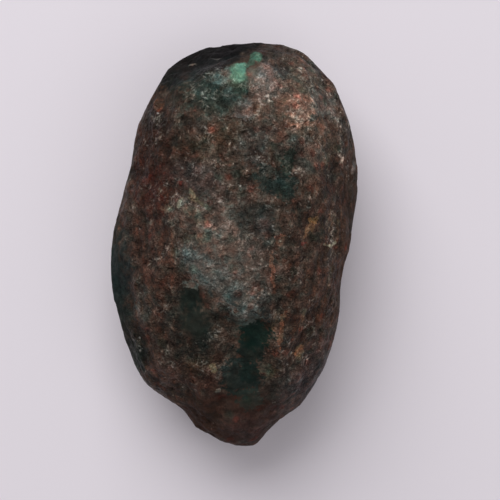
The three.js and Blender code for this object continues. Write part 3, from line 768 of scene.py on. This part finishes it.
@dataclass(frozen=True)
class PaintedGlints:
    """Painted glints: small bright dots where the flakes gather.

    Attributes:
        pick: Which grains they are.
        gathered: How closely the flakes have to lie.
        strength: How fully a spark covers, 0 to 1.
        colour: Its linear colour.
    """

    pick: GrainPick = GrainPick(0.55, 0, Rise(0.94, 0.95), Rise(0.24, 0.12))
    gathered: Rise = Rise(0.36, 0.44)
    strength: float = 0.5
    colour: Colour = tint(190, 186, 178)

    def over(self, sheet: StoneSheet, colour: Socket) -> Socket:
        """Scatters the sparks over a colour.

        Args:
            sheet: The stone's nodes.
            colour: The colour so far.

        Returns:
            The new colour.
        """
        spark = self.pick.share(sheet, sheet.place)
        spark = sheet.calc("MULTIPLY", spark, sheet.step(sheet.gathered, self.gathered))
        return sheet.blend(sheet.calc("MULTIPLY", spark, self.strength), colour, self.colour)


@dataclass(frozen=True)
class Bumps:
    """The grains that are too fine for the mesh, and are raised in the shading.

    Attributes:
        scars: The pattern of the scars.
        scar_jitter: How ragged they are.
        grain_size: The width of a grain, mm.
        grain_jitter: How ragged the grains are.
        fine: The pattern of the finest grains.
        heights: How high scars, grains' edges and finest grains stand out, mm.
        worn_off: How much of it all is gone where the stone is worn, 0 to 1.
        fading: The power of liveliness that it all fades with.
    """

    scars: Clouds = Clouds(0.9)
    scar_jitter: Jitter = Jitter(1.2, reach=0.4)
    grain_size: float = 0.42
    grain_jitter: Jitter = Jitter(0.3, reach=0.1)
    fine: Clouds = Clouds(0.24, roughness=0.65)
    heights: Triple = (0.7, -0.1, 0.18)
    worn_off: float = 0.8
    fading: float = 2.0

    def normal(self, sheet: StoneSheet) -> Socket:
        """Raises the grains.

        Args:
            sheet: The stone's nodes.

        Returns:
            The shading direction.
        """
        scars = self.scars.at(sheet, self.scar_jitter.bend(sheet, sheet.place))
        grains = sheet.grains(self.grain_jitter.bend(sheet, sheet.place), self.grain_size)
        fine = self.fine.at(sheet, sheet.place)
        worn = sheet.add("ShaderNodeAttribute", {}, attribute_name=WORN)["Fac"]
        rough = sheet.calc("SUBTRACT", 1.0, sheet.calc("MULTIPLY", worn, self.worn_off))
        strength = sheet.calc("MULTIPLY", sheet.calc("POWER", sheet.lively, self.fading), rough)
        under = {}
        for level, height in zip((scars, grains["Distance"], fine), self.heights):
            inputs = {"Height": level, "Strength": strength, "Distance": height * MM, **under}
            under = {"Normal": sheet.add("ShaderNodeBump", inputs)[0]}
        return under["Normal"]


Layer = Patch | FlankStreaks | HueDrift | GrainContrast | FlakesAndGlints | OddGrains | PaintedGlints


@dataclass(frozen=True)
class StoneFinish:
    """The stone's finish: packed mineral grains in brown, with patches where one mineral rules,
    and painted shadow, sheen, highlights and glints in some places.

    Attributes:
        name: The material's name.
        warp: How the borders of the regions wander.
        grit: The fine pattern that breaks them up.
        calm: Where the grain is fine and dull.
        quiet: How much of the grain a calm region takes away, 0 to 1.
        crowds: Where the pale flakes and their painted glints gather.
        bare: How strongly a calm region thins them out.
        gather: The pattern of where they gather elsewhere.
        gather_power: How strongly it counts.
        crowd_power: How strongly a crowd counts.
        ground: The brown of the schist.
        layers: What lies over it, from the lowest layer up.
        shine: The pattern of the glossy and the dull grains.
        glossy: Its level in the glossiest grains, and their roughness.
        dull: The same for the dullest grains.
        calm_roughness: How much rougher the calm regions are.
        bumps: The grains that are raised in the shading.
        specular: How strongly the surface mirrors, 0 to 1.
    """

    name: str = "brown_mica_schist"
    warp: Jitter = Jitter(2.6, 4, 0.62, 0.9)
    grit: Clouds = Clouds(0.42, roughness=0.65)
    calm: tuple[Region, ...] = tuple(Region(*row, CALM) for row in CALM_ROWS)
    quiet: float = 0.72
    crowds: tuple[Region, ...] = tuple(Region(*row) for row in CROWD_ROWS)
    bare: float = 0.5
    gather: Clouds = Clouds(1.5, 4)
    gather_power: float = 0.7
    crowd_power: float = 0.3
    ground: Mottling = Mottling()
    layers: tuple[Layer, ...] = (
        *(Patch(*row) for row in PATCH_ROWS),
        FlankStreaks(),
        HueDrift(),
        GrainContrast(),
        FlakesAndGlints(),
        OddGrains(GrainPick(1), (0, 0, 0), (1.45, 0.85, 0.78)),
        OddGrains(GrainPick(1.3), (5, 3, 7), (0.62, 0.86, 0.8)),
        OddGrains(GrainPick(0.7), (9, 2, 4), (1.5, 1.46, 1.4)),
        PaintedGlints(),
    )
    shine: Clouds = Clouds(0.5, roughness=0.7)
    glossy: tuple[float, float] = (0.3, 0.36)
    dull: tuple[float, float] = (0.7, 0.7)
    calm_roughness: float = 0.45
    bumps: Bumps = Bumps()
    specular: float = 0.12

    def build(self) -> bpy.types.Material:
        """Makes the material.

        Returns:
            The finished material.
        """
        sheet = StoneSheet(self.name)
        sheet.place = sheet.shift("SCALE", sheet.add("ShaderNodeTexCoord", {})["Object"], 1 / MM)
        sheet.wandering = self.warp.bend(sheet, sheet.place)
        sheet.grit = self.grit.at(sheet, sheet.place)
        calm = crowd = 0.0
        for region in self.calm:
            calm = sheet.calc("ADD", calm, region.share(sheet))
        for region in self.crowds:
            crowd = sheet.calc("ADD", crowd, region.share(sheet))
        quiet = sheet.calc("MULTIPLY", calm, self.quiet)
        sheet.lively = sheet.calc("SUBTRACT", 1.0, quiet, clamp=True)
        crowd = sheet.calc("SUBTRACT", crowd, sheet.calc("MULTIPLY", calm, self.bare))
        gathered = sheet.calc("MULTIPLY", self.gather.at(sheet, sheet.place), self.gather_power)
        crowd = sheet.calc("MULTIPLY", crowd, self.crowd_power)
        sheet.gathered = sheet.calc("ADD", gathered, crowd)
        colour = self.ground.colour(sheet)
        for layer in self.layers:
            colour = layer.over(sheet, colour)
        levels = {"Value": self.shine.at(sheet, sheet.place)}
        levels["From Min"], levels["To Min"] = self.glossy
        levels["From Max"], levels["To Max"] = self.dull
        varied = sheet.add("ShaderNodeMapRange", levels)["Result"]
        rougher = sheet.calc("MULTIPLY", calm, self.calm_roughness)
        inputs = {
            "Base Color": colour,
            "Roughness": sheet.calc("ADD", varied, rougher, clamp=True),
            "Normal": self.bumps.normal(sheet),
            "Specular IOR Level": self.specular,
        }
        shader = sheet.add("ShaderNodeBsdfPrincipled", inputs)
        sheet.add("ShaderNodeOutputMaterial", {"Surface": shader["BSDF"]})
        return sheet.material


@dataclass(frozen=True)
class Wave:
    """A random wave over the surface.

    Attributes:
        height: Its swing, mm.
        pace: How closely its crests lie, per mm.
        start: Where in the noise it starts.
        layers: How many layers of finer waves it has, or 0 for one plain wave.
        fall: How much weaker each finer layer is.
    """

    height: float
    pace: float
    start: Triple = (0, 0, 0)
    layers: int = 0
    fall: float = 1.0

    def at(self, place: Vector) -> float:
        """Reads the wave.

        Args:
            place: The place, mm.

        Returns:
            The wave's level there, about -1 to 1.
        """
        spot = place * self.pace + Vector(self.start)
        if self.layers:
            return noise.fractal(spot, self.fall, HALVED, self.layers)
        return noise.noise(spot)


@dataclass(frozen=True)
class Relief:
    """The fine relief: broken edges of mica layers, knobs, grain and pits.

    Attributes:
        squeeze: How the relief is drawn out along the stone.
        ledges: The wave that the edges follow in steps, each as high as it says.
        ledge_count: How many steps it has from its middle to its crest.
        ledge_width: The share of a step that its slope takes.
        knobs: The knobs.
        grain: The grain.
        pits: The wave that the pits are cut by, as deep as it says.
        pit_level: Its level where a pit starts.
    """

    squeeze: float = 0.72
    ledges: Wave = Wave(0.1, 0.42, (3, 11, 5), 4, 0.9)
    ledge_count: float = 2.6
    ledge_width: float = 0.3
    knobs: Wave = Wave(0.16, 0.85, layers=3)
    grain: Wave = Wave(0.08, 2.4, (7, 3, 1))
    pits: Wave = Wave(0.35, 1.25, (31, 5, 17))
    pit_level: float = 0.3

    def height_at(self, place: Vector) -> float:
        """Works out how far the surface stands out at a place.

        Args:
            place: The place on the stone, mm.

        Returns:
            The height, mm, below 0 in a pit.
        """
        drawn = Vector((place.x, place.y * self.squeeze, place.z))
        steps = self.ledge_count * self.ledges.at(drawn)
        slope = min(1.0, max(0.0, (steps % 1.0 - 0.5) / self.ledge_width + 0.5))
        ledges = (math.floor(steps) + slope * slope * (3 - 2 * slope)) * self.ledges.height
        knobs = self.knobs.at(drawn) * self.knobs.height
        grain = self.grain.at(drawn) * self.grain.height
        pits = max(0.0, self.pits.at(drawn) - self.pit_level)
        return ledges + knobs + grain - pits * self.pits.height


@dataclass
class Stone:
    """The stone itself.

    Attributes:
        name: The piece's name.
        node: The solid that it stands for.
        merge: How close vertices of the solid's mesh are merged, mm.
        cuts: How often each edge of the solid's mesh is halved.
        smoothing: How often the facets are evened out.
        smoothing_share: How far each time, 0 to 1.
        relief: The fine relief.
        worn_tilt: How far up or down a normal points where the relief is whole.
        worn_off: How much of the relief is gone on upright sides, 0 to 1.
        finish: The stone's finish.
    """

    name: str = "raw_stone"
    node: str = "fuchsite_stone"
    merge: float = 0.001
    cuts: int = 2
    smoothing: int = 4
    smoothing_share: float = 0.5
    relief: Relief = Relief()
    worn_tilt: float = 0.6
    worn_off: float = 0.85
    finish: StoneFinish = StoneFinish()

    def build(self) -> bpy.types.Object:
        """Makes the stone and lets it stand for its solid.

        Returns:
            The finished piece.
        """
        mesh = bpy.data.meshes.new(self.name)
        form = self.start_form()
        self.roughen(form)
        bmesh.ops.recalc_face_normals(form, faces=form.faces)
        form.to_mesh(mesh)
        form.free()
        mesh.shade_smooth()
        mesh.materials.append(self.finish.build())
        piece = bpy.data.objects.new(self.name, mesh)
        bpy.context.scene.collection.objects.link(piece)
        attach(piece, "root")
        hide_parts(self.node)
        return piece

    def start_form(self) -> bmesh.types.BMesh:
        """Copies the solid's mesh, closes it, and makes it fine and even.

        Returns:
            The stone's plain form.
        """
        form = bmesh.new()
        form.from_mesh(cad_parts[self.node].data)
        bmesh.ops.remove_doubles(form, verts=form.verts, dist=self.merge * MM)
        for _ in range(self.cuts):
            bmesh.ops.subdivide_edges(form, edges=form.edges, cuts=1, use_grid_fill=True)
        axes = {"use_axis_x": True, "use_axis_y": True, "use_axis_z": True}
        for _ in range(self.smoothing):
            bmesh.ops.smooth_vert(form, verts=form.verts, factor=self.smoothing_share, **axes)
        return form

    def roughen(self, form: bmesh.types.BMesh) -> None:
        """Gives the stone its relief, less on its upright sides, and keeps it in its solid's box.

        Args:
            form: The stone's plain form.
        """
        form.normal_update()
        low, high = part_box(self.node)
        relief = form.verts.layers.float.new(RELIEF)
        worn = form.verts.layers.float.new(WORN)
        for vertex in form.verts:
            height = self.relief.height_at(vertex.co / MM)
            vertex[relief] = height
            vertex[worn] = 1 - min(1.0, abs(vertex.normal.z) / self.worn_tilt)
            moved = vertex.co + vertex.normal * height * (1 - self.worn_off * vertex[worn]) * MM
            vertex.co = [min(max(*pair), top) for *pair, top in zip(moved, low, high)]


@dataclass
class Ground:
    """The pale floor that the stone lies on.

    Attributes:
        half_width: Half its width, mm.
        colour: Its linear colour.
        roughness: Its roughness.
    """

    half_width: float = 1500.0
    colour: Colour = tint(230, 224, 231)
    roughness: float = 0.9

    def build(self) -> bpy.types.Object:
        """Makes the floor.

        Returns:
            The floor.
        """
        sheet = ShaderSheet("pale_floor")
        inputs = {"Base Color": self.colour, "Roughness": self.roughness}
        shader = sheet.add("ShaderNodeBsdfPrincipled", inputs)
        sheet.add("ShaderNodeOutputMaterial", {"Surface": shader["BSDF"]})
        form = bmesh.new()
        bmesh.ops.create_grid(form, x_segments=1, y_segments=1, size=self.half_width * MM)
        mesh = bpy.data.meshes.new("floor")
        form.to_mesh(mesh)
        form.free()
        mesh.materials.append(sheet.material)
        floor = bpy.data.objects.new("floor", mesh)
        bpy.context.scene.collection.objects.link(floor)
        return floor


@dataclass
class SoftLamp:
    """A square soft lamp that faces the stone.

    Attributes:
        name: The lamp's name.
        place: Where it hangs, mm.
        width: Its width, mm.
        power: Its power, W.
        colour: Its light's colour.
        aim: The point that it faces, mm.
    """

    name: str
    place: Triple
    width: float
    power: float
    colour: Triple = (1, 1, 1)
    aim: Triple = (0, 0, 8)

    def build(self) -> None:
        """Makes the lamp."""
        data = bpy.data.lights.new(self.name, "AREA")
        data.size = self.width * MM
        data.energy = self.power
        data.color = self.colour
        lamp = bpy.data.objects.new(self.name, data)
        lamp.location = Vector(self.place) * MM
        towards = Vector(self.aim) * MM - lamp.location
        lamp.rotation_euler = towards.to_track_quat("-Z", "Y").to_euler()
        bpy.context.scene.collection.objects.link(lamp)


@dataclass
class Studio:
    """The light round the stone: soft lamps and an even pale room.

    Attributes:
        lamps: The soft lamps.
        room_colour: The colour of the room.
        room_level: How bright the room is.
    """

    lamps: tuple[SoftLamp, ...] = (
        SoftLamp("key_lamp", (-90, 295, 320), 380, 1.71),
        SoftLamp("side_lamp", (120, -80, 340), 300, 0.22),
    )
    room_colour: Colour = (0.8, 0.78, 0.8, 1)
    room_level: float = 0.345

    def build(self) -> None:
        """Makes the lamps and the room, with plain display colours."""
        for lamp in self.lamps:
            lamp.build()
        world = bpy.data.worlds.new("pale_room")
        world.use_nodes = True
        background = world.node_tree.nodes["Background"]
        background.inputs["Color"].default_value = self.room_colour
        background.inputs["Strength"].default_value = self.room_level
        bpy.context.scene.world = world
        bpy.context.scene.view_settings.view_transform = "Standard"


@dataclass
class Viewpoint:
    """The camera, straight above the stone.

    Attributes:
        aim: The point in the middle of the view, mm.
        view_width: How much it sees across at that point, mm.
        lens: Its focal length, mm.
        sensor_width: The width of its sensor, mm.
        reach: The nearest and the farthest that it sees, mm.
    """

    aim: Triple = (1.356, -0.356, 8)
    view_width: float = 44.44
    lens: float = 135.0
    sensor_width: float = 36.0
    reach: tuple[float, float] = (5, 5000)

    def build(self) -> bpy.types.Object:
        """Makes the camera and gives it to the scene.

        Returns:
            The camera.
        """
        data = bpy.data.cameras.new("camera")
        data.lens = self.lens
        data.sensor_width = self.sensor_width
        data.clip_start, data.clip_end = (reach * MM for reach in self.reach)
        camera = bpy.data.objects.new("camera", data)
        distance = self.view_width * self.lens / self.sensor_width
        camera.location = (Vector(self.aim) + Vector((0.0, 0.0, distance))) * MM
        bpy.context.scene.collection.objects.link(camera)
        bpy.context.scene.camera = camera
        return camera


def main() -> None:
    """Builds the stone, its floor, its light and the camera."""
    logging.basicConfig(level=logging.INFO, format="%(name)s: %(message)s")
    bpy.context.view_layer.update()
    stone = Stone().build()
    LOG.info("%s: %d faces", stone.name, len(stone.data.polygons))
    floor = Ground().build()
    LOG.info("%s: %.0f mm across", floor.name, floor.dimensions.x / MM)
    Studio().build()
    camera = Viewpoint().build()
    LOG.info("%s: %.0f mm up", camera.name, camera.location.z / MM)


if __name__ == "__main__":
    main()
